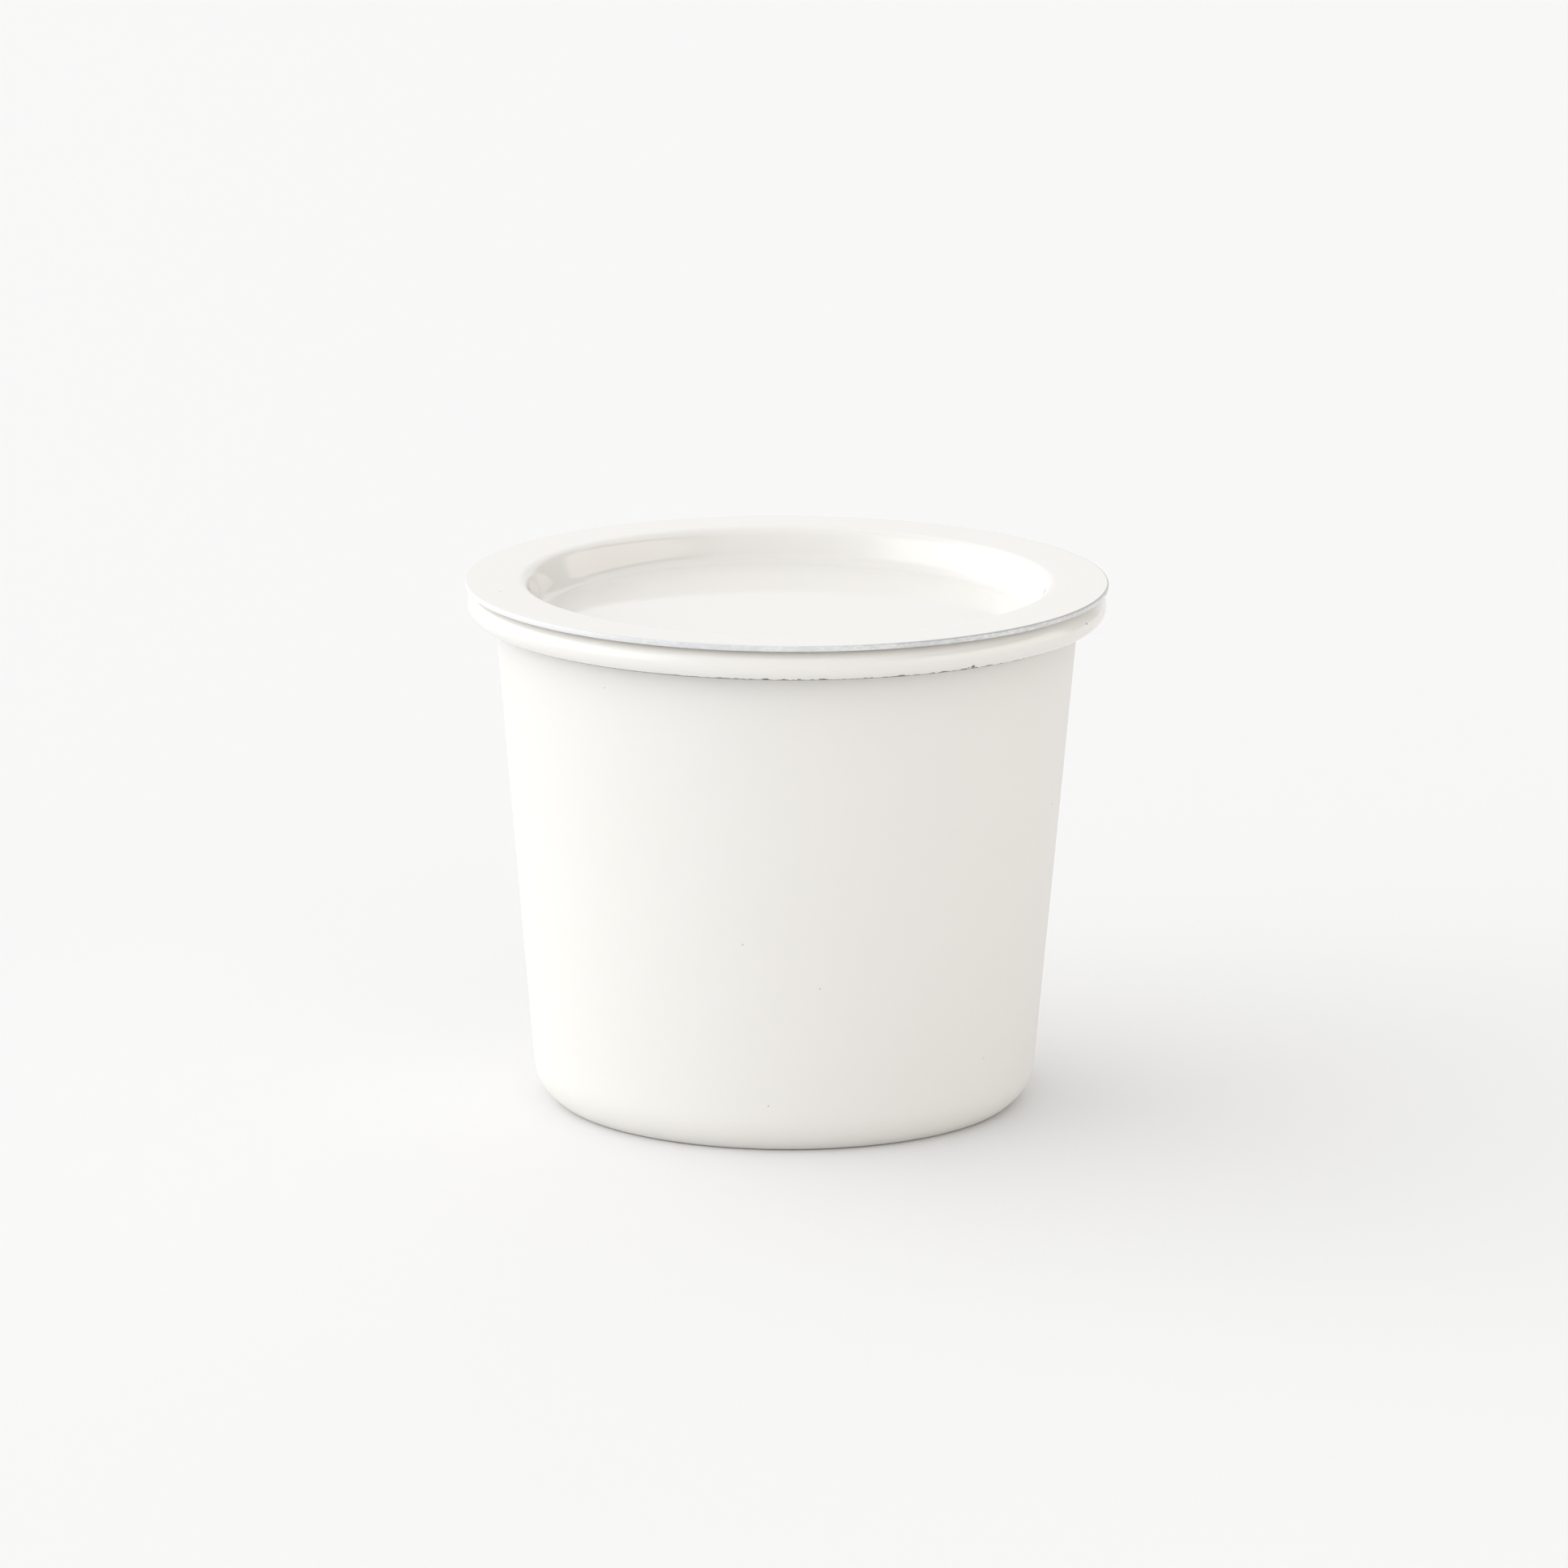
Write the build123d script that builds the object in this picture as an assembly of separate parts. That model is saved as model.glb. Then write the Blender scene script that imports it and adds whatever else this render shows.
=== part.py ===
"""Enamelled steel canister: a tapered pot with a rolled rim, a plug-in seal lid and a dished outer lid.

Frame: millimetres, +Z up, origin at the centre of the circle that the pot stands on.
Every piece is a solid of revolution about Z, so each is drawn as a half section (radius, height) and revolved.
"""
from build123d import *
import math
import os

# ---- Driving dimensions, mm ----
LID_R = 53.5             # outer radius of the outer lid, the widest part
TOTAL_H = 88.0           # floor to the top of the outer lid
SHEET = 1.0              # steel with its enamel coats

# Pot
RIM_GAP = 0.15           # crest of the rim to the outer lid's flange
RIM_R = 53.2             # widest radius of the rolled rim
RIM_UPPER_R = 2.75       # outside radius of the roll, from the mouth over the crest to the widest point
RIM_LOWER_R = 2.25       # outside radius below the widest point, where the roll turns back in
RIM_TUCK = 84.0          # degrees that the lower arc turns before the cut edge
TAPER = 4.9              # degrees that the wall leans out
BILGE_R = 7.5            # outside radius between the wall and the slope under it
HEEL_SLOPE = 42.0        # degrees that this slope rises from the floor
HEEL_CUT = 2.9           # the slope starts this far inside the corner that wall and base would make
HEEL_R = 2.0             # outside radius between the base and the slope
RECESS_DEPTH = 0.8       # the middle of the base is raised by this much
RECESS_R = 31.0          # radius of the raised middle
RECESS_STEP = 2.2        # width of the step round it
STEP_R = 1.2             # bend radius of that step, on the middle of the sheet

# Outer lid
WELL_DEPTH = 5.8         # flange top to well floor
WELL_CORNER_R = 43.4     # radius where the flange and the well's wall would meet
WELL_DRAFT = 20.0        # degrees that the well's wall leans
SHOULDER_R = 1.8         # visible bend radius, flange to wall
WELL_FILLET_R = 2.5      # visible bend radius, wall to floor
EDGE_ROUND = 0.25        # rounding of the flange's sheared edge

# Seal lid, moulded in soft plastic
SEAL_WALL = 1.2
SEAL_TOP_GAP = 0.2       # its top to the underside of the outer lid's flange
SEAL_FLOOR_GAP = 0.3     # its dish to the outer lid's floor
SEAL_SIDE_GAP = 0.4      # its dish to the outer lid's well, measured square to the wall
SEAL_DEPTH = 8.0         # top to the end of the skirt
SEAL_SKIRT_GAP = 0.5     # skirt to the pot's wall
SEAL_BEND_R = 0.9        # bend radii on the middle of the moulded wall
RIB_TIP_GAP = 0.2        # sealing ribs to the pot's wall
RIB_HEIGHT = 1.0
RIB_DROPS = (3.6, 6.4)   # rib centres below the seal's top
LIP_R = 48.9             # the lip that stops the seal on the rim's inner shoulder
LIP_GAP = 0.2            # lip to that shoulder
LIP_THICK = 1.1

HALF = SHEET / 2
FAR = 200.0              # larger than anything here, for cutting shapes
OVERRUN = 1.0            # how far a sheet's line runs past the place where the sheet is trimmed
TOUCH = 0.01             # points nearer than this to a radius are on it


def lean(degrees):
    """Unit vector along a wall that leans out from the vertical by this angle."""
    a = math.radians(degrees)
    return Vector(math.sin(a), math.cos(a))


def square_left(direction):
    """Unit vector square to a direction, towards the axis."""
    return Vector(-direction.Y, direction.X)


def at_height(point, direction, z):
    """The point at height z on the line through point."""
    return point + direction * ((z - point.Y) / direction.Y)


def crossing(a, along_a, b, along_b):
    """The point where the line through a meets the line through b."""
    return a + along_a * ((b - a).cross(along_b).Z / along_a.cross(along_b).Z)


def thicken(path, wall):
    """The half section of a sheet of that wall thickness along its middle line, with rounded ends."""
    band = offset(path, amount=wall / 2, side=Side.BOTH, kind=Kind.ARC, closed=True)
    outside_axis = Pos(FAR / 2, 0) * Rectangle(FAR, 2 * FAR)
    return make_face(band.edges()) & outside_axis


def turn(section):
    """Revolves a half section about the canister's axis."""
    return revolve(Plane.XZ * section, Axis.Z)


# ---- Shared geometry ----
WALL = lean(TAPER)
LID_UNDERSIDE = TOTAL_H - SHEET
RIM_CENTRE = Vector(RIM_R - RIM_UPPER_R, LID_UNDERSIDE - RIM_GAP - RIM_UPPER_R)
ROLL_START = RIM_CENTRE + square_left(WALL) * (RIM_UPPER_R - HALF)   # on the middle of the sheet
MOUTH_POINT = ROLL_START + square_left(WALL) * HALF                  # on the pot's inner surface

WELL_WALL = lean(WELL_DRAFT)
WELL_CORNER = Vector(WELL_CORNER_R, TOTAL_H)                         # on the lid's upper surface
FLOOR_Z = TOTAL_H - WELL_DEPTH
SEAL_TOP = LID_UNDERSIDE - SEAL_TOP_GAP


def pot_body():
    """Drawn shell: raised base, heel, bilge, tapered wall and outward-rolled rim."""
    corner = at_height(ROLL_START, WALL, HALF)
    heel = corner - Vector(HEEL_CUT, 0)
    bilge = crossing(heel, lean(90 - HEEL_SLOPE), corner, WALL)
    shell = FilletPolyline(
        (-OVERRUN, RECESS_DEPTH + HALF),
        (RECESS_R, RECESS_DEPTH + HALF),
        (RECESS_R + RECESS_STEP, HALF),
        (heel.X, heel.Y),
        (bilge.X, bilge.Y),
        (ROLL_START.X, ROLL_START.Y),
        radius=[STEP_R, STEP_R, HEEL_R - HALF, BILGE_R - HALF],
    )
    over = JernArc(shell @ 1, shell % 1, RIM_UPPER_R - HALF, TAPER - 180)
    under = JernArc(over @ 1, over % 1, RIM_LOWER_R - HALF, -RIM_TUCK)
    path = Wire(shell.edges() + over.edges() + under.edges())
    return turn(thicken(path, SHEET))


def outer_lid():
    """Pressed dish: flat flange, sloping well wall and flat well floor."""
    middle_corner = WELL_CORNER - square_left(WELL_WALL) * HALF      # on the middle of the well's wall
    top = at_height(middle_corner, WELL_WALL, TOTAL_H - HALF)
    foot = at_height(middle_corner, WELL_WALL, FLOOR_Z - HALF)
    path = FilletPolyline(
        (-OVERRUN, FLOOR_Z - HALF),
        (foot.X, foot.Y),
        (top.X, top.Y),
        (LID_R + OVERRUN, TOTAL_H - HALF),
        radius=[WELL_FILLET_R + HALF, SHOULDER_R - HALF],
    )
    section = thicken(Wire(path.edges()), SHEET)
    section &= Pos(LID_R / 2, 0) * Rectangle(LID_R, 2 * FAR)
    edge_corners = section.vertices().filter_by_position(Axis.X, LID_R - TOUCH, LID_R + TOUCH)
    return turn(fillet(edge_corners, EDGE_ROUND))


def sealing_ribs(skirt_face):
    """Small wedges from the skirt to the pot's inner wall."""
    ribs = Sketch()
    for drop in RIB_DROPS:
        z = SEAL_TOP - drop
        tip = at_height(MOUTH_POINT, WALL, z).X - RIB_TIP_GAP
        root = at_height(skirt_face, WALL, z).X - SEAL_WALL / 2
        ribs += make_face(Polyline(
            (root, z - RIB_HEIGHT / 2),
            (tip, z),
            (root, z + RIB_HEIGHT / 2),
            close=True,
        ))
    return ribs


def seal_lid():
    """Moulded plug: a dish that holds the outer lid's well, a rolled-over top, a ribbed skirt and a stop lip."""
    half = SEAL_WALL / 2
    dish_line = WELL_CORNER - square_left(WELL_WALL) * (SHEET + SEAL_SIDE_GAP + half)
    skirt_face = MOUTH_POINT + square_left(WALL) * SEAL_SKIRT_GAP
    skirt_line = skirt_face + square_left(WALL) * half
    floor_z = FLOOR_Z - SHEET - SEAL_FLOOR_GAP - half
    foot = at_height(dish_line, WELL_WALL, floor_z)
    inner_top = at_height(dish_line, WELL_WALL, SEAL_TOP - half)
    outer_top = at_height(skirt_line, WALL, SEAL_TOP - half)
    skirt_end = at_height(skirt_line, WALL, SEAL_TOP - SEAL_DEPTH + half)
    path = FilletPolyline(
        (-OVERRUN, floor_z),
        (foot.X, foot.Y),
        (inner_top.X, inner_top.Y),
        (outer_top.X, outer_top.Y),
        (skirt_end.X, skirt_end.Y),
        radius=[WELL_FILLET_R + half, SEAL_BEND_R, SEAL_BEND_R],
    )
    section = thicken(Wire(path.edges()), SEAL_WALL)
    section += sealing_ribs(skirt_face)
    lip_root = (inner_top.X + outer_top.X) / 2
    lip = Pos((lip_root + LIP_R) / 2, SEAL_TOP - LIP_THICK / 2) * Rectangle(LIP_R - lip_root, LIP_THICK)
    lip -= Pos(RIM_CENTRE.X, RIM_CENTRE.Y) * Circle(RIM_UPPER_R + LIP_GAP)
    section += lip
    return turn(section)


os.makedirs("parts", exist_ok=True)
for maker in (pot_body, seal_lid, outer_lid):
    export_step(maker(), f"parts/{maker.__name__}.step")
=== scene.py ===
"""Looks of an enamelled canister: its pot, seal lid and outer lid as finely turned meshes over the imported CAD
frame, with their enamel and plastic, and a pale floor, studio light and a camera. Sections are drawn in mm as
(radius, height); Blender objects are in metres, in the CAD frame."""
import math

import bpy
import numpy as np
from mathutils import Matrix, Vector, noise


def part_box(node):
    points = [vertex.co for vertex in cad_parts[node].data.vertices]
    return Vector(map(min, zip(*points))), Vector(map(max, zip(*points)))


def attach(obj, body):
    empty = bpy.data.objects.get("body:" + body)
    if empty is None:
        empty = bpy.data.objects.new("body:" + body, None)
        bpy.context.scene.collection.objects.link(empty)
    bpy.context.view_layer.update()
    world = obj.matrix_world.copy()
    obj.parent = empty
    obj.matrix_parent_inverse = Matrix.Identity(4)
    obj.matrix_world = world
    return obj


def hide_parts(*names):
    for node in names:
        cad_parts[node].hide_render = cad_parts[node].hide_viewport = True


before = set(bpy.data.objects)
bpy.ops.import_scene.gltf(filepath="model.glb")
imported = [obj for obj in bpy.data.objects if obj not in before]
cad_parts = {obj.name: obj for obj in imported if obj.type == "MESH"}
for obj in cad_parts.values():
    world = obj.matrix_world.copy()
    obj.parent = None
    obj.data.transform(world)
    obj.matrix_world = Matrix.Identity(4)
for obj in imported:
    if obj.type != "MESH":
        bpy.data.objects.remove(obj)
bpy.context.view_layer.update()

MM = 0.001
SEGMENTS = 288           # round the axis
RUN = 2.0                # mm between rings on a straight stretch
ARC_STEP = 6.0           # degrees between rings on a bend
ON_AXIS = 1e-6           # mm, a smaller radius is on the axis
RIGHT, END, LEFT = 0, 1, 2    # sides of a sheet's outline, from its middle line's start to its end

# ---- Sheet metal. Overall sizes come from the frame, bends are the pressings' own, mm ----
pot_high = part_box("pot_body")[1] / MM
lid_low, lid_high = (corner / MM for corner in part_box("outer_lid"))
SHEET = 1.0
HALF = SHEET / 2

RIM_R = pot_high.x
RIM_TOP = pot_high.z
RIM_UPPER_R = 2.75
RIM_LOWER_R = 2.25
RIM_TUCK = 84.0          # degrees
TAPER = 4.9              # degrees
BILGE_R = 7.5
HEEL_SLOPE = 42.0        # degrees
HEEL_CUT = 2.9
HEEL_R = 2.0
RECESS_DEPTH = 0.8
RECESS_R = 31.0
RECESS_STEP = 2.2
STEP_R = 1.2

LID_R = lid_high.x
LID_TOP = lid_high.z
WELL_FLOOR = lid_low.z + SHEET
WELL_CORNER_R = 43.4
WELL_DRAFT = 20.0        # degrees
SHOULDER_R = 1.8
WELL_FILLET_R = 2.5
EDGE_ROUND = 0.3

# ---- Seal lid, mm ----
SEAL_WALL = 1.2
SEAL_TOP = LID_TOP - SHEET - 0.2
SEAL_FLOOR_GAP = 0.3
SEAL_SIDE_GAP = 0.4
SEAL_DEPTH = 8.0
SEAL_SKIRT_GAP = 0.5
SEAL_BEND_R = 0.9
SEAL_END_R = 0.5
SEAL_DISH_R = 45.6       # everything outside this radius is lip or skirt
RIB_TIP_GAP = 0.2
RIB_NOSE = 0.08
RIB_HEIGHT = 1.0
RIB_DROPS = (3.6, 6.4)
LIP_R = 48.9
LIP_GAP = 0.2
LIP_THICK = 1.1
LIP_NOSE = 0.1
LIP_FLAT = 1.0           # from the lip's rim in along its flat top
LIP_ARC_POINTS = 8       # under the lip, where it follows the rim's roll


# ---- Half sections: points (radius, height) along a sheet's middle line ----
def unit(angle):
    """Unit vector at an angle in degrees from the outward radius."""
    return np.array([math.cos(math.radians(angle)), math.sin(math.radians(angle))])


def left_of(direction):
    return np.array([-direction[1], direction[0]])


def at_height(point, direction, height):
    return point + direction * ((height - point[1]) / direction[1])


def crossing(a, along_a, b, along_b):
    """The point where the line through a meets the line through b."""
    return a + along_a * np.linalg.solve(np.column_stack([along_a, -along_b]), b - a)[0]


def straight(start, end):
    """Points from start to end, the end included and the start left out."""
    count = max(1, round(float(np.linalg.norm(end - start)) / RUN))
    return [start + (end - start) * (i + 1) / count for i in range(count)]


def bend(start, heading, radius, degrees):
    """Points of an arc that leaves start at that heading and turns by degrees, left if positive."""
    side = math.copysign(1.0, degrees)
    centre = start + side * radius * unit(heading + 90)
    count = max(2, math.ceil(abs(degrees) / ARC_STEP))
    return [centre + side * radius * unit(heading - 90 + degrees * (i + 1) / count) for i in range(count)]


def rounded(corners, radii):
    """A polyline with its inner corners rounded to those radii."""
    corners = [np.array(c, float) for c in corners]
    points = [corners[0]]
    for before, corner, after, radius in zip(corners, corners[1:], corners[2:], radii):
        into, out = corner - before, after - corner
        heading = math.degrees(math.atan2(into[1], into[0]))
        turn = math.degrees(math.atan2(into[0] * out[1] - into[1] * out[0], into @ out))
        setback = radius * math.tan(math.radians(abs(turn)) / 2)
        points += straight(points[-1], corner - into / np.linalg.norm(into) * setback)
        points += bend(points[-1], heading, radius, turn)
    return points + straight(points[-1], corners[-1])


def end_heading(points):
    """Heading in degrees of the last stretch of a line."""
    last = points[-1] - points[-2]
    return math.degrees(math.atan2(last[1], last[0]))


def thicken(line, wall, end_turn, round_r):
    """The outline of a sheet of that wall along its middle line, from the axis out along its right side,
    round its end and back along its left. Each point comes with its side and its distance from the end. The
    end is cut square to end_turn and has arrises of round_r."""
    line = np.array(line)
    steps = np.diff(line, axis=0)
    steps /= np.linalg.norm(steps, axis=1)[:, None]
    tangents = np.vstack([steps[:1], steps[:-1] + steps[1:], unit(end_turn)[None]])
    tangents /= np.linalg.norm(tangents, axis=1)[:, None]
    normals = np.stack([-tangents[:, 1], tangents[:, 0]], 1)
    normals[0] = (0, 1)
    lengths = np.linalg.norm(np.diff(line, axis=0), axis=1)
    to_end = np.append(np.cumsum(lengths[::-1])[::-1], 0)
    right, left = line - normals * wall / 2, line + normals * wall / 2
    heading, normal = unit(end_turn), left_of(unit(end_turn))
    cap = bend(right[-1], end_turn, round_r, 90)
    far = right[-1] + heading * round_r + normal * (wall - round_r)
    if wall > 2 * round_r:
        cap.append(far)
    cap += bend(far, end_turn + 90, round_r, 90)[:-1]
    points = [(p, RIGHT, d) for p, d in zip(right, to_end)] + [(p, END, 0.0) for p in cap]
    return points + [(p, LEFT, d) for p, d in zip(left[::-1], to_end[::-1])]


# ---- Turned meshes ----
WAVE_LENGTH = 14.0       # mm, size of the enamel's waves
WAVE_DEPTH = 0.03        # mm


def turned(name, outline, waviness=0.0, seed=0.0):
    """A solid of revolution of an outline that starts and ends on the axis. Waviness is how far in, in mm,
    its surface wanders, as fired enamel does. Each vertex keeps its side and its distance from the sheet's
    cut end."""
    verts, faces, rings, side_of, end_of = [], [], [], [], []
    angles = [2 * math.pi * k / SEGMENTS for k in range(SEGMENTS)]
    for (r, z), side, to_end in outline:
        first = len(verts)
        if r < ON_AXIS:
            verts.append((0.0, 0.0, z))
            rings.append([first] * SEGMENTS)
        else:
            verts += [(r * math.sin(a), -r * math.cos(a), z) for a in angles]
            rings.append(list(range(first, first + SEGMENTS)))
        side_of += [side] * (len(verts) - first)
        end_of += [to_end] * (len(verts) - first)
    for low, high in zip(rings, rings[1:]):
        for k in range(SEGMENTS):
            quad = [low[k], low[(k + 1) % SEGMENTS], high[(k + 1) % SEGMENTS], high[k]]
            faces.append(list(dict.fromkeys(quad)))
    mesh = bpy.data.meshes.new(name)
    mesh.from_pydata([Vector(v) * MM for v in verts], [], faces)
    mesh.update()
    if waviness:
        normals = np.array([v.normal for v in mesh.vertices])
        shift = Vector((seed, 0, 0))
        waves = np.array([noise.noise(Vector(v) / WAVE_LENGTH + shift) for v in verts])
        inward = -waviness * (0.5 + 0.5 * waves)
        moved = (np.array(verts) + normals * inward[:, None]) * MM
        mesh.vertices.foreach_set("co", moved.astype(np.float32).ravel())
    for label, values in (("side", side_of), ("cut", end_of)):
        attribute = mesh.attributes.new(label, "FLOAT", "POINT")
        attribute.data.foreach_set("value", np.array(values, np.float32))
    mesh.polygons.foreach_set("use_smooth", [True] * len(mesh.polygons))
    mesh.update()
    piece = bpy.data.objects.new(name, mesh)
    bpy.context.scene.collection.objects.link(piece)
    return piece


def by_side(piece, materials):
    """Gives each face the material of the side of the sheet it is on: right, end or left."""
    for material in materials:
        piece.data.materials.append(material)
    sides = np.zeros(len(piece.data.vertices), np.float32)
    piece.data.attributes["side"].data.foreach_get("value", sides)
    for face in piece.data.polygons:
        found = {round(float(sides[v])) for v in face.vertices}
        face.material_index = END if END in found else min(found)


def pot_outline():
    wall = unit(90 - TAPER)
    centre = np.array([RIM_R - RIM_UPPER_R, RIM_TOP - RIM_UPPER_R])
    start = centre + left_of(wall) * (RIM_UPPER_R - HALF)
    corner = at_height(start, wall, HALF)
    heel = corner - np.array([HEEL_CUT, 0])
    bilge = crossing(heel, unit(HEEL_SLOPE), corner, wall)
    line = rounded(
        [
            (0, RECESS_DEPTH + HALF),
            (RECESS_R, RECESS_DEPTH + HALF),
            (RECESS_R + RECESS_STEP, HALF),
            heel,
            bilge,
            start,
        ],
        [STEP_R, STEP_R, HEEL_R - HALF, BILGE_R - HALF],
    )
    line += bend(start, 90 - TAPER, RIM_UPPER_R - HALF, TAPER - 180)
    line += bend(line[-1], -90, RIM_LOWER_R - HALF, -RIM_TUCK)
    return thicken(line, SHEET, -90 - RIM_TUCK, EDGE_ROUND)


def lid_outline():
    wall = unit(90 - WELL_DRAFT)
    middle = np.array([WELL_CORNER_R, LID_TOP]) - left_of(wall) * HALF
    floor_z, flange_z = WELL_FLOOR - HALF, LID_TOP - HALF
    line = rounded(
        [
            (0, floor_z),
            at_height(middle, wall, floor_z),
            at_height(middle, wall, flange_z),
            (LID_R - EDGE_ROUND, flange_z),
        ],
        [WELL_FILLET_R + HALF, SHOULDER_R - HALF],
    )
    return thicken(line, SHEET, 0, EDGE_ROUND)


def detour(outline, low, high, points):
    """The outline with what its left side has between two heights, outside the well, replaced by points."""
    inside = [
        i
        for i, (p, side, _) in enumerate(outline)
        if side == LEFT and low < p[1] < high and p[0] > SEAL_DISH_R
    ]
    return outline[:inside[0]] + [(np.array(p), LEFT, 0.0) for p in points] + outline[inside[-1] + 1:]


def seal_outline():
    """The dish, the rolled-over top and the skirt, with its ribs and the lip that rests inside the rim."""
    half = SEAL_WALL / 2
    well, wall = unit(90 - WELL_DRAFT), unit(90 - TAPER)
    rim_centre = np.array([RIM_R - RIM_UPPER_R, RIM_TOP - RIM_UPPER_R])
    mouth = rim_centre + left_of(wall) * RIM_UPPER_R
    dish_line = np.array([WELL_CORNER_R, LID_TOP]) - left_of(well) * (SHEET + SEAL_SIDE_GAP + half)
    face = mouth + left_of(wall) * SEAL_SKIRT_GAP
    skirt_line = face + left_of(wall) * half
    floor_z = WELL_FLOOR - SHEET - SEAL_FLOOR_GAP - half
    line = rounded(
        [
            (0, floor_z),
            at_height(dish_line, well, floor_z),
            at_height(dish_line, well, SEAL_TOP - half),
            at_height(skirt_line, wall, SEAL_TOP - half),
            at_height(skirt_line, wall, SEAL_TOP - SEAL_DEPTH),
        ],
        [WELL_FILLET_R + half, SEAL_BEND_R, SEAL_BEND_R],
    )
    line[-1] = line[-1] + wall * SEAL_END_R
    outline = thicken(line, SEAL_WALL, end_heading(line), SEAL_END_R)
    for drop in RIB_DROPS:
        z = SEAL_TOP - drop
        low, high = at_height(face, wall, z - RIB_HEIGHT / 2), at_height(face, wall, z + RIB_HEIGHT / 2)
        tip = at_height(mouth, wall, z)[0] - RIB_TIP_GAP
        nose = [(tip - RIB_NOSE, z - RIB_NOSE), (tip, z), (tip - RIB_NOSE, z + RIB_NOSE)]
        outline = detour(outline, low[1], high[1], [low, *nose, high])
    lip_low = SEAL_TOP - LIP_THICK
    under = at_height(face, wall, lip_low)
    reach = RIM_UPPER_R + LIP_GAP
    rest_start = math.degrees(math.acos((lip_low - rim_centre[1]) / reach))
    rest_end = math.degrees(math.asin((rim_centre[0] - LIP_R) / reach))
    angles = np.linspace(90 + rest_start, 90 + rest_end, LIP_ARC_POINTS)
    rest = [rim_centre + reach * unit(a) for a in angles]
    top = [(LIP_R, SEAL_TOP - LIP_NOSE), (LIP_R - LIP_NOSE, SEAL_TOP), (LIP_R - LIP_FLAT, SEAL_TOP)]
    return detour(outline, lip_low, math.inf, [under, *rest, *top])


# ---- Node trees ----
class Tree:
    """Short ways to add nodes to a node tree."""

    def __init__(self, tree):
        self.nodes, self.links = tree.nodes, tree.links

    def feed(self, socket, value):
        if isinstance(value, bpy.types.NodeSocket):
            self.links.new(value, socket)
        else:
            socket.default_value = value

    def node(self, kind, inputs=(), **settings):
        node = self.nodes.new(kind)
        for name, value in settings.items():
            setattr(node, name, value)
        for name, value in dict(inputs).items():
            self.feed(node.inputs[name], value)
        return node

    def math(self, operation, *values):
        return self.node("ShaderNodeMath", dict(enumerate(values)), operation=operation).outputs[0]

    def step(self, value, zero_at, one_at, low=0.0, high=1.0):
        """Smoothly from low where value is at zero_at to high where it is at one_at."""
        inputs = {"Value": value, "From Min": zero_at, "From Max": one_at, "To Min": low, "To Max": high}
        return self.node("ShaderNodeMapRange", inputs, interpolation_type="SMOOTHSTEP").outputs["Result"]

    def blend(self, factor, a, b):
        """Color a where factor is 0, b where it is 1."""
        node = self.node("ShaderNodeMix", data_type="RGBA")
        for name, value in (("Factor_Float", factor), ("A_Color", a), ("B_Color", b)):
            socket = next(i for i in node.inputs if i.identifier == name)
            self.feed(socket, (*value, 1) if isinstance(value, tuple) and len(value) == 3 else value)
        return next(o for o in node.outputs if o.identifier == "Result_Color")

    def place(self, stretch=(1, 1, 1)):
        """Object coordinates in mm, multiplied by stretch."""
        coordinates = self.node("ShaderNodeTexCoord").outputs["Object"]
        scale = tuple(s / MM for s in stretch)
        return self.node("ShaderNodeVectorMath", {0: coordinates, 1: scale}, operation="MULTIPLY").outputs[0]

    def noise(self, size, detail=2.0, stretch=(1, 1, 1)):
        """Noise from 0 to 1 whose features are about size mm."""
        inputs = {"Vector": self.place(stretch), "Scale": 1 / size, "Detail": detail}
        return self.node("ShaderNodeTexNoise", inputs).outputs["Fac"]

    def attribute(self, name):
        return self.node("ShaderNodeAttribute", attribute_name=name).outputs["Fac"]

    def bump(self, height, distance):
        return self.node("ShaderNodeBump", {"Height": height, "Distance": distance * MM}).outputs[0]


def new_material(name, values):
    """A node material, its tree and its shader. Values are the shader's, by socket name."""
    material = bpy.data.materials.new(name)
    material.use_nodes = True
    tree = Tree(material.node_tree)
    shader = material.node_tree.nodes["Principled BSDF"]
    for socket, value in values.items():
        shader.inputs[socket].default_value = value
    return material, tree, shader


# ---- Enamel ----
CREAM = (0.800, 0.787, 0.757)
CREAM_SHADE = (0.790, 0.775, 0.743)
GROUND_COAT = (0.030, 0.026, 0.026)
MATT_IOR = 1.58
GLOSS_IOR = 1.75
TONE_SIZE = 22.0         # mm, size of the patches of cream and its shade
BURNT_GRAIN_SIZE = 0.5   # mm, of the skin of burnt enamel
BURNT_GRAIN = 0.02       # mm deep

# Marks on it: azimuth from the front towards the right in degrees, then radius, height and size in mm. They
# are marks in the photograph, most at places that a scratch script worked out from it. The last two on the
# wall are made up for the unseen side.
ROLL_MARKS = (
    (35.1, 52.55, 82.52, 0.36),      # a chip at the rolled edge
    (34.3, 52.4, 82.4, 0.20),
    (68.2, 53.1, 84.8, 0.18),
)
WALL_MARKS = (
    (-8.9, 44.55, 36.2, 0.12),
    (7.5, 43.9, 28.7, 0.12),
    (-3.5, 42.2, 8.5, 0.12),
    (73.6, 46.0, 52.8, 0.16),
    (50.7, 42.55, 12.9, 0.12),
    (-37.9, 48.1, 77.6, 0.10),
    (-163.0, 45.2, 44.0, 0.14),
    (131.0, 47.3, 68.5, 0.12),
)
LID_MARKS = (
    (-76.2, 48.9, 88.0, 0.13),
    (-76.5, 48.6, 88.0, 0.15),
    (-76.9, 48.2, 88.0, 0.11),
)
MARK_RAGS = 0.25         # mm, size of the bays in a mark's outline
MARK_BLUR = 0.25         # of a mark's size, to either side of its outline

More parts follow.
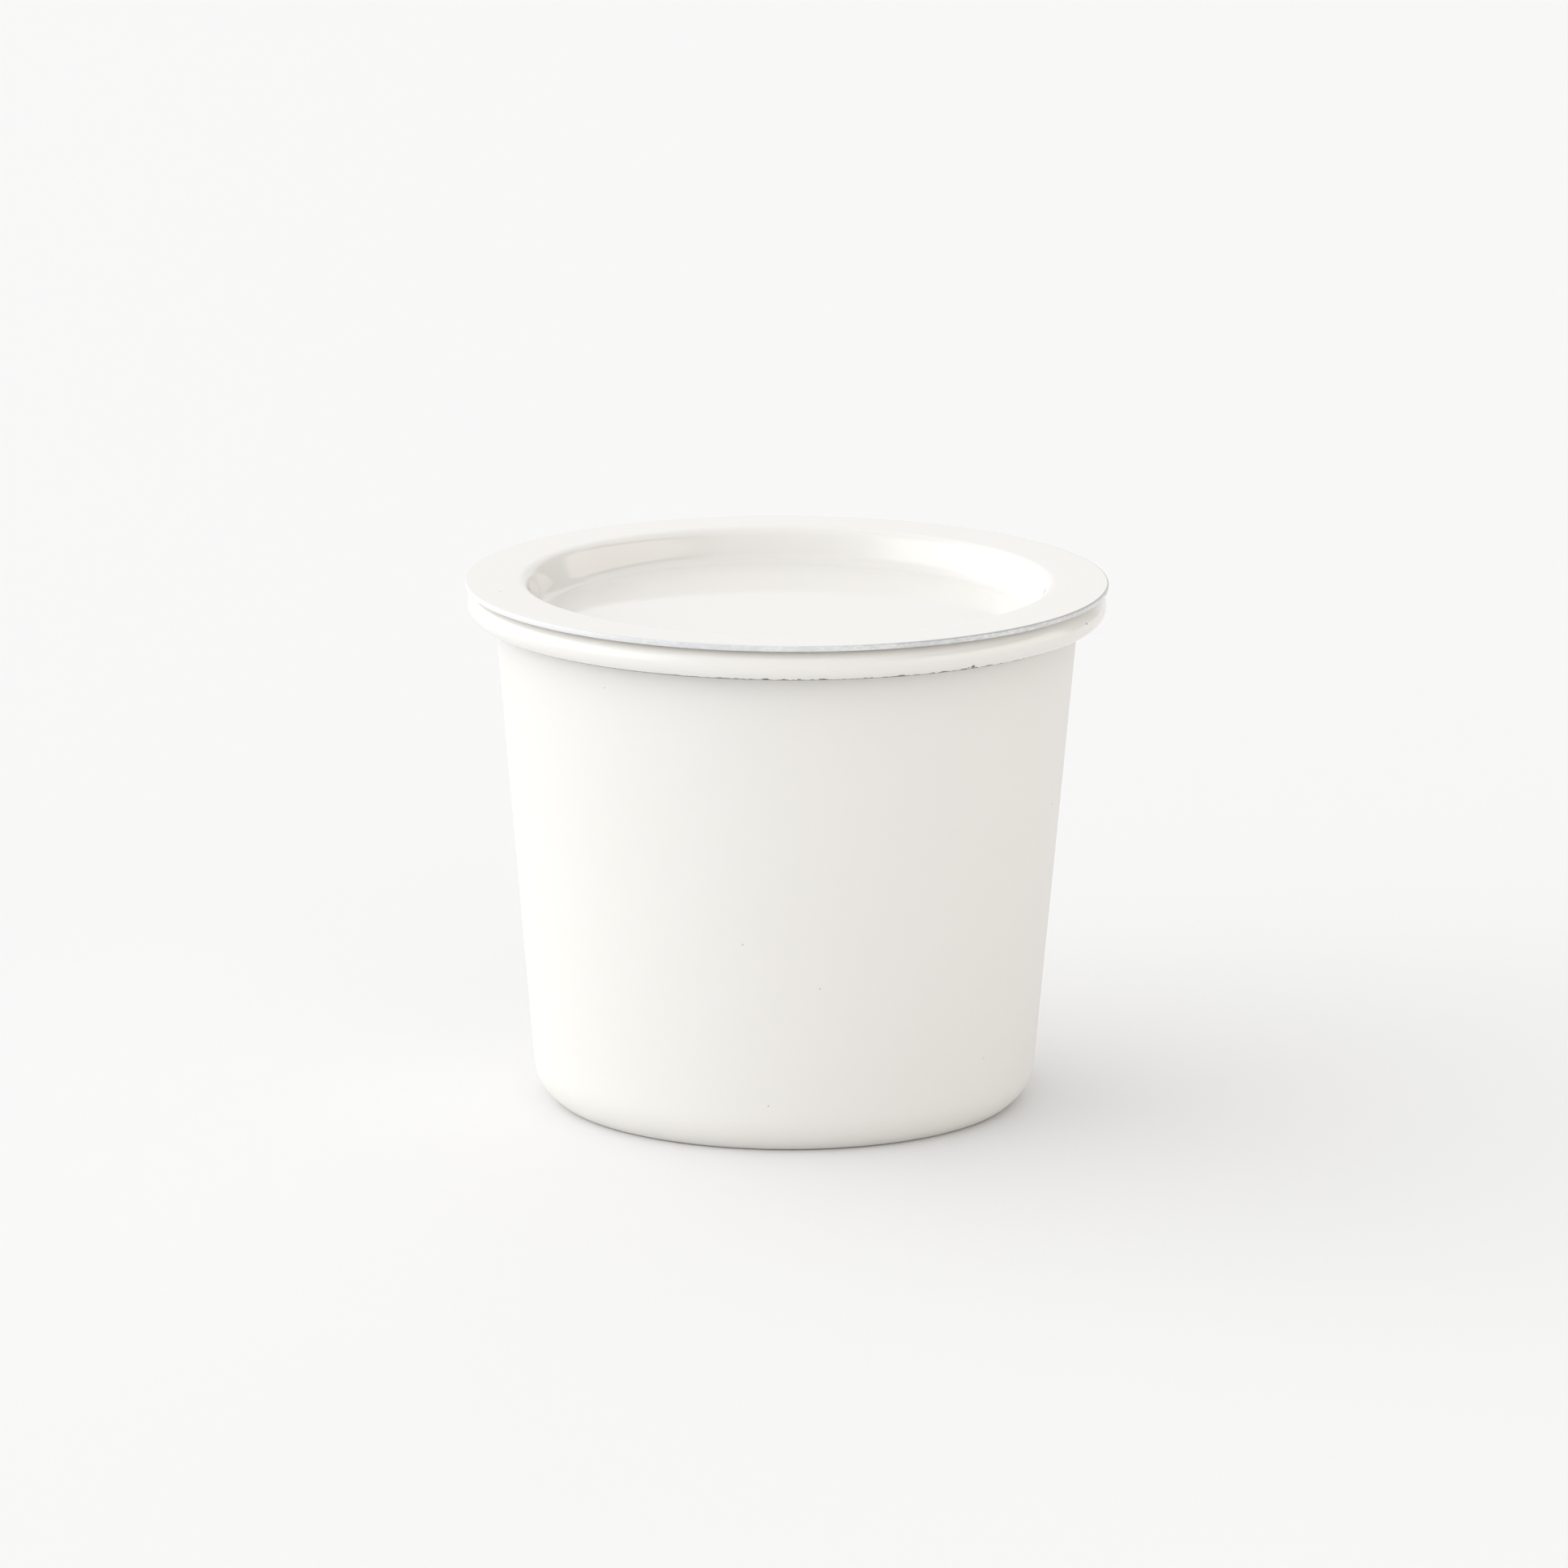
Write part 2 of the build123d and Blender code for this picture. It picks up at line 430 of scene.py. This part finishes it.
# The ground coat along the rolled rim's cut end, with painted shade of the crevice between the roll and the
# wall, mm
# the even line is partly ground coat, partly painted shade of the crevice where the roll's cut end meets the
# wall
EVEN_COAT_AND_SHADE_LINE = 0.82         # from the cut end, of which the last 0.5 mm is in sight from above
# the dashes' least depth leaves a faint line of painted shade between them
SHALLOWEST_DASH = 0.68
DEEPEST_DASH = 1.08
DASH_SIZE = 1.3
DASH_STARTS, DASH_FULL = 0.42, 0.66    # values of the noise along the rim
LINE_RAGS = 0.4
LINE_RAGGEDNESS = 0.24   # from its lowest bay to its highest point
LINE_BLUR = 0.06

# The lid's sheared edge
STREAK_SIZE = 0.8        # mm
STREAK_SQUEEZE = 2.0     # how much finer streaks are up the edge than along it
STREAK_DRIFT = 0.2       # mm that streaks move the worn arris up and down
THIN_PATCH_SIZE = 6.0    # mm
THIN_PATCH_SHARE = 0.6
THIN_STARTS, THIN_FULL = 0.50, 1.00    # values of the streaks and patches together
ARRIS_STARTS, ARRIS_FULL = 0.20, 0.05  # mm under the lid's top


def speckle(tree, marks):
    """1 on each mark, with ragged outlines."""
    place = tree.place()
    ragged = tree.math("SUBTRACT", tree.noise(MARK_RAGS, 1.0), 0.5)
    total = 0.0
    for azimuth, radius, height, size in marks:
        a = math.radians(azimuth)
        centre = (radius * math.sin(a), -radius * math.cos(a), height)
        away = tree.node("ShaderNodeVectorMath", {0: place, 1: centre}, operation="DISTANCE").outputs["Value"]
        ragged_away = tree.math("MULTIPLY_ADD", ragged, size, away)
        mark = tree.step(ragged_away, size * (1 + MARK_BLUR), size * (1 - MARK_BLUR))
        total = tree.math("MAXIMUM", total, mark)
    return total


def worn_and_shaded_roll(tree):
    """1 where the ground coat shows along the cut end of the rolled rim: a fine even line where the rim is
    little worn, and broken dashes of uneven height where it is worn. The even line, and the faint line left
    between the dashes, are partly painted shade of the narrow crevice between the roll and the wall."""
    wear = tree.attribute("wear")
    along = tree.noise(DASH_SIZE, 3.0, (1, 1, 0))
    ragged = tree.math("MULTIPLY_ADD", tree.noise(LINE_RAGS, 2.0), LINE_RAGGEDNESS, -LINE_RAGGEDNESS / 2)
    # the even line: ground coat and painted shade of the crevice under the roll
    even = tree.math("ADD", ragged, EVEN_COAT_AND_SHADE_LINE)
    depth = tree.step(along, DASH_STARTS, DASH_FULL, SHALLOWEST_DASH, DEEPEST_DASH)
    dashes = tree.math("ADD", ragged, depth)
    reach = tree.node("ShaderNodeMix", {"Factor": wear, "A": even, "B": dashes}).outputs["Result"]
    bare = tree.math("SUBTRACT", tree.attribute("cut"), reach)
    return tree.step(bare, LINE_BLUR, -LINE_BLUR)


def enamel(name, roughness, ior, grain, grain_size, marks, boldness, worn=False):
    """Fired enamel: cream drifting a little to its shade, a skin of grain, with its size and depth in mm,
    marks where the dark ground coat shows through, and, if worn, the ground coat along the cut end, with
    painted shade of the crevice between the rolled rim and the wall."""
    material, tree, shader = new_material(name, {"Roughness": roughness, "IOR": ior})
    tone = tree.blend(tree.noise(TONE_SIZE), CREAM, CREAM_SHADE)
    dark = tree.math("MULTIPLY", speckle(tree, marks), boldness)
    if worn:
        dark = tree.math("MAXIMUM", dark, worn_and_shaded_roll(tree))
    tree.feed(shader.inputs["Base Color"], tree.blend(dark, tone, GROUND_COAT))
    tree.feed(shader.inputs["Normal"], tree.bump(tree.noise(grain_size, 3.0), grain))
    return material


def burnt_skin(tree):
    """The rough surface of burnt enamel."""
    return tree.bump(tree.noise(BURNT_GRAIN_SIZE, 2.0), BURNT_GRAIN)


def ground_coat(name):
    """The bare ground coat on the rolled rim's cut end."""
    material, tree, shader = new_material(name, {"Roughness": 0.35, "Base Color": (*GROUND_COAT, 1)})
    tree.feed(shader.inputs["Normal"], burnt_skin(tree))
    return material


def thin_edge(name, light, dark, arris):
    """Enamel burnt thin over a sheared edge, so that the blue-grey ground coat shows through in streaks, as
    far as the thin attribute says; that attribute is partly painted light and shade, leaving the edge light on
    the lit left and darker round the shaded right. Its upper arris is worn to the arris color as far as the
    wear attribute says."""
    material, tree, shader = new_material(name, {"Roughness": 0.22, "IOR": GLOSS_IOR})
    streaks = tree.noise(STREAK_SIZE, 3.0, (1, 1, STREAK_SQUEEZE))
    patches = tree.noise(THIN_PATCH_SIZE, 1.0)
    uneven = tree.math("MULTIPLY_ADD", patches, THIN_PATCH_SHARE, streaks)
    thin = tree.step(uneven, THIN_STARTS, THIN_FULL)
    # the thin attribute is partly painted shade: light on the lit left, darker round the right
    color = tree.blend(tree.math("MULTIPLY", thin, tree.attribute("thin")), light, dark)
    height = tree.node("ShaderNodeSeparateXYZ", {0: tree.place()}).outputs["Z"]
    drifting = tree.math("MULTIPLY_ADD", streaks, STREAK_DRIFT, height)
    top = tree.step(drifting, LID_TOP - ARRIS_STARTS, LID_TOP - ARRIS_FULL)
    worn = tree.math("MULTIPLY", top, tree.attribute("wear"))
    tree.feed(shader.inputs["Base Color"], tree.blend(worn, color, arris))
    tree.feed(shader.inputs["Normal"], burnt_skin(tree))
    return material


# ---- Plastic ----
MILK = (0.70, 0.72, 0.715)
MILK_SHADE = (0.655, 0.68, 0.675)
CLOUD_SIZE = 12.0        # mm
GLOW_DEPTH = 2.0         # mm that light goes into it
MOULD_GRAIN_SIZE = 0.6   # mm
MOULD_GRAIN = 0.01       # mm deep


def milky_plastic(name):
    """Soft polyethylene: cloudy, a little light inside, with the fine matt skin of its mould."""
    depth = GLOW_DEPTH * MM
    values = {"Roughness": 0.42, "Subsurface Weight": 0.35, "Subsurface Radius": (depth, depth, depth)}
    material, tree, shader = new_material(name, values)
    tree.feed(shader.inputs["Base Color"], tree.blend(tree.noise(CLOUD_SIZE), MILK, MILK_SHADE))
    tree.feed(shader.inputs["Normal"], tree.bump(tree.noise(MOULD_GRAIN_SIZE, 2.0), MOULD_GRAIN))
    return material


# ---- World ----
# The room: panels of light or dark on a plain sky, chosen by hand and judged in test renders. Azimuth from
# straight behind the canister towards its right, elevation, width, height and softness in degrees, then
# colour times strength.
PANELS = (
    (-90, 20, 120, 40, 20, (2.5, 2.5, 2.5)),    # a big soft window on the left
    (105, 15, 90, 30, 3, (1.5, 1.4, 1.3)),      # a lit warm wall on the right
    (105, 35, 90, 15, 3, (0.2, 0.2, 0.2)),      # the dark beam over it, mirrored in the lid's well
    (45, 15, 30, 45, 5, (0.5, 0.5, 0.5)),       # a doorway at its far end
    (180, 15, 90, 30, 15, (0.9, 0.9, 0.9)),     # the room behind the camera
    (180, 45, 90, 30, 15, (1.2, 1.2, 1.2)),     # the ceiling over the camera
)
SKY = (0.95, 0.95, 0.95)
PAPER = (0.828, 0.828, 0.828)
FLOOR_REACH = 4.0        # m from the middle to each side

# The viewpoint, fitted to the lid's ellipse, the rim and the base with a scratch script. The tilt was then
# changed a little.
SENSOR = 36.0            # mm
LENS = 223.6             # mm
EYE = (-0.30, -1585.5, 416.8)    # mm
TILT_DOWN = 12.923       # degrees
ROLL = 0.315             # degrees
CLIP_FROM, CLIP_TO = 0.1, 20.0   # m


def studio():
    world = bpy.data.worlds.new("studio")
    bpy.context.scene.world = world
    world.use_nodes = True
    tree = Tree(world.node_tree)
    direction = tree.node("ShaderNodeTexCoord").outputs["Generated"]
    x, y, z = tree.node("ShaderNodeSeparateXYZ", {0: direction}).outputs
    elevation = tree.math("DEGREES", tree.math("ARCSINE", z))
    azimuth = tree.math("DEGREES", tree.math("ARCTAN2", x, y))
    total = SKY
    for az, el, width, height, softness, color in PANELS:
        off = tree.math("ABSOLUTE", tree.math("WRAP", tree.math("SUBTRACT", azimuth, az), 180, -180))
        up = tree.math("ABSOLUTE", tree.math("SUBTRACT", elevation, el))
        across = tree.step(off, width / 2 + softness, width / 2 - softness)
        along = tree.step(up, height / 2 + softness, height / 2 - softness)
        total = tree.blend(tree.math("MULTIPLY", across, along), total, color)
    tree.feed(world.node_tree.nodes["Background"].inputs["Color"], total)


def floor():
    mesh = bpy.data.meshes.new("floor")
    corners = [(x * FLOOR_REACH, y * FLOOR_REACH, 0) for x, y in ((-1, -1), (1, -1), (1, 1), (-1, 1))]
    mesh.from_pydata(corners, [], [(0, 1, 2, 3)])
    material = new_material("paper", {"Roughness": 0.7, "Base Color": (*PAPER, 1)})[0]
    mesh.materials.append(material)
    piece = bpy.data.objects.new("floor", mesh)
    bpy.context.scene.collection.objects.link(piece)


def camera():
    """The viewpoint of a long lens, a little above the rim."""
    data = bpy.data.cameras.new("camera")
    data.sensor_width = SENSOR
    data.lens = LENS
    data.clip_start, data.clip_end = CLIP_FROM, CLIP_TO
    cam = bpy.data.objects.new("camera", data)
    bpy.context.scene.collection.objects.link(cam)
    cam.location = Vector(EYE) * MM
    cam.rotation_mode = "ZYX"
    cam.rotation_euler = (math.radians(90 - TILT_DOWN), 0.0, math.radians(ROLL))
    bpy.context.scene.camera = cam


# ---- Wear and thin enamel, partly painted shade, and how the pieces ride ----
def paint(piece, name, value_at):
    """Gives each vertex a value worked out from its azimuth, in degrees from the front towards the right."""
    values = [value_at(math.degrees(math.atan2(v.co.x, -v.co.y))) for v in piece.data.vertices]
    piece.data.attributes.new(name, "FLOAT", "POINT").data.foreach_set("value", values)


def stand_for(piece, body, node):
    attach(piece, body)
    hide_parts(node)


def roll_wear(azimuth):
    """0 on the left of the rolled rim, 1 from just left of the front round to the right, and less behind."""
    azimuths = (-180, -150, -25, -5, 55, 75, 180)
    return float(np.interp(azimuth, azimuths, (0.6, 0.1, 0.0, 1.0, 0.9, 0.4, 0.6)))


def arris_wear(azimuth):
    """How far the lid's upper arris is worn: most on the right."""
    azimuths = (-180, -120, 5, 30, 100, 180)
    return float(np.interp(azimuth, azimuths, (0.5, 0.1, 0.1, 0.9, 0.9, 0.5)))


def edge_thinness_and_shade(azimuth):
    """How far the lid's edge is burnt thin, partly as painted shade: hardly on the lit left, most from the
    front round to the shaded right.
    """
    azimuths = (-180, -90, -42, -20, 0, 25, 80, 180)
    return float(np.interp(azimuth, azimuths, (0.5, 0.0, 0.1, 0.7, 0.6, 1.0, 0.9, 0.5)))


# ---- The scene ----
matt = enamel(
    "matt_enamel",
    roughness=0.42, ior=MATT_IOR, grain=0.012, grain_size=0.9, marks=WALL_MARKS, boldness=0.5,
)
# its worn line along the roll's cut end is partly painted shade of the crevice under the roll
gloss = enamel(
    "gloss_enamel",
    roughness=0.04, ior=GLOSS_IOR, grain=0.004, grain_size=3.0, marks=ROLL_MARKS, boldness=0.95, worn=True,
)
lid_gloss = enamel(
    "lid_enamel",
    roughness=0.035, ior=GLOSS_IOR, grain=0.004, grain_size=3.0, marks=LID_MARKS, boldness=0.55,
)
pot_edge = ground_coat("pot_edge")
lid_edge = thin_edge(
    "lid_edge", light=(0.76, 0.765, 0.775), dark=(0.58, 0.59, 0.605), arris=(0.42, 0.425, 0.42)
)
plastic = milky_plastic("milky_plastic")

pot = turned("pot", pot_outline(), WAVE_DEPTH, seed=1.0)
by_side(pot, [matt, pot_edge, gloss])
paint(pot, "wear", roll_wear)
stand_for(pot, "pot", "pot_body")

seal = turned("seal", seal_outline())
by_side(seal, [plastic] * 3)
stand_for(seal, "seal", "seal_lid")

lid = turned("lid", lid_outline(), WAVE_DEPTH, seed=2.0)
by_side(lid, [lid_gloss, lid_edge, lid_gloss])
paint(lid, "wear", arris_wear)
# the edge's thinness round the lid is partly painted shade: light on the lit left, darker round the right
paint(lid, "thin", edge_thinness_and_shade)
stand_for(lid, "lid", "outer_lid")

floor()
studio()
camera()
scene = bpy.context.scene
scene.view_settings.view_transform = "Standard"
scene.view_settings.look = "None"
scene.view_settings.exposure = 0.0
